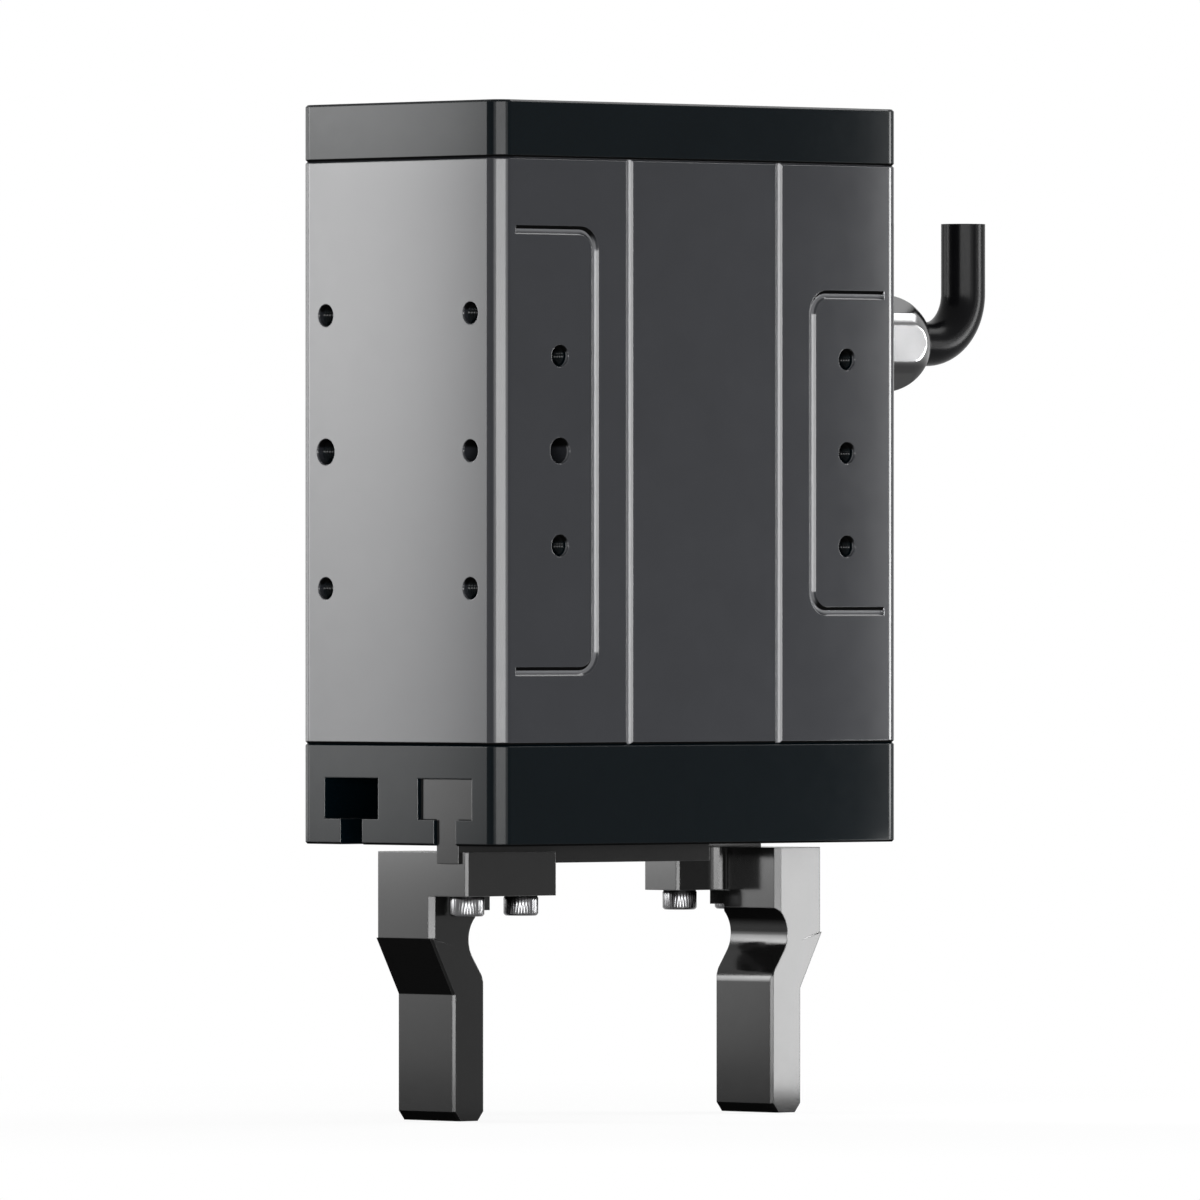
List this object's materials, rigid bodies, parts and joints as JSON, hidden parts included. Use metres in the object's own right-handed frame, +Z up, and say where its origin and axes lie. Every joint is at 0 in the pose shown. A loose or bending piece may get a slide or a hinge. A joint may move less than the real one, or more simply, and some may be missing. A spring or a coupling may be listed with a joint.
{
  "type": "electric two finger gripper",
  "caption": "Block shaped electric parallel gripper: dark base with T slot jaw sliders, cranked fingers screwed under them, grooved anodised housing, cap and side cable gland.",
  "frame": {"origin": "middle of the flat underside of the base block, between the two jaw slots", "axes": "+X along the jaw travel towards the cable side, +Y to the rear, +Z up towards the cap"},
  "size_m": [0.1605, 0.06, 0.2037],
  "materials": {
    "housing_anodised": "fine anodised, satin",
    "dark_anodised": "dark anodised, satin",
    "slider_steel": "ground and blackened steel",
    "finger_metal": "dark hard anodised",
    "screw_steel": "bright stainless",
    "gear_steel": "hobbed, oiled steel",
    "bearing_steel": "polished bearing steel",
    "bush_bronze": "sintered bronze",
    "machined_aluminium": "machined, bare",
    "can_steel": "black coated steel",
    "lamination_steel": "stacked laminations",
    "copper": "enamelled copper",
    "magnet": "sintered magnet, plated",
    "board_green": "solder mask on glass laminate",
    "chip_black": "moulded package",
    "standoff_brass": "turned brass",
    "terminal_plastic": "moulded plastic",
    "lead_plastic": "coloured wire insulation",
    "gland_metal": "nickel plated, satin",
    "seal_rubber": "soft rubber",
    "cable_jacket": "glossy black jacket"
  },
  "bodies": {
    "housing": {"main_housing": "housing_anodised", "top_cap": "dark_anodised", "base_block": "dark_anodised", "cap_screws": "screw_steel", "base_screws": "screw_steel", "plate_screws": "screw_steel", "motor_screws": "screw_steel", "board_screws": "screw_steel", "base_bearing_outer": "bearing_steel", "base_bearing_balls": "bearing_steel", "plate_bearing_outer": "bearing_steel", "plate_bearing_balls": "bearing_steel", "motor_bearing_outers": "bearing_steel", "motor_bearing_balls": "bearing_steel", "pinion_bush": "bush_bronze", "gear_plate": "machined_aluminium", "plate_pillars": "machined_aluminium", "motor_flange": "machined_aluminium", "motor_end_cap": "machined_aluminium", "motor_can": "can_steel", "stator_core": "lamination_steel", "stator_windings": "copper", "encoder_board": "board_green", "control_board": "board_green", "board_chips": "chip_black", "encoder_chip": "chip_black", "board_standoffs": "standoff_brass", "terminal_block": "terminal_plastic", "motor_lead": "lead_plastic", "cable_cores": "lead_plastic", "gland_body": "gland_metal", "gland_locknut": "gland_metal", "gland_nut": "gland_metal", "gland_seal": "seal_rubber", "cap_gasket": "seal_rubber", "cable": "cable_jacket"},
    "left_jaw": {"left_slider": "slider_steel", "left_finger": "finger_metal", "left_finger_screws": "screw_steel"},
    "right_jaw": {"right_slider": "slider_steel", "right_finger": "finger_metal", "right_finger_screws": "screw_steel"},
    "pinion": {"rack_pinion": "gear_steel", "drive_gear": "gear_steel", "drive_gear_clip": "gear_steel", "base_bearing_inner": "bearing_steel", "plate_bearing_inner": "bearing_steel"},
    "rotor": {"motor_shaft": "gear_steel", "motor_magnets": "magnet", "motor_pinion": "gear_steel", "encoder_magnet": "magnet", "motor_bearing_inners": "bearing_steel"}
  },
  "joints": [
    {"name": "left_jaw_slide", "type": "slide", "parent": "housing", "child": "left_jaw", "axis": [1, 0, 0], "range_m": [0, 0.038]},
    {"name": "right_jaw_slide", "type": "slide", "parent": "housing", "child": "right_jaw", "axis": [-1, 0, 0], "range_m": [0, 0.038]},
    {"name": "pinion_spin", "type": "hinge", "parent": "housing", "child": "pinion", "pos_m": [0, 0, 0], "axis": [0, 0, 1], "range_deg": [0, 312]},
    {"name": "motor_spin", "type": "hinge", "parent": "housing", "child": "rotor", "pos_m": [-0.024, 0, 0], "axis": [0, 0, 1], "range_deg": [-1245, 0]}
  ],
  "couplings": [
    {"joint": "right_jaw_slide", "follows": "left_jaw_slide", "ratio": 1},
    {"joint": "pinion_spin", "follows": "left_jaw_slide", "rad_per_m": 142.86},
    {"joint": "motor_spin", "follows": "left_jaw_slide", "rad_per_m": -571.43}
  ]
}
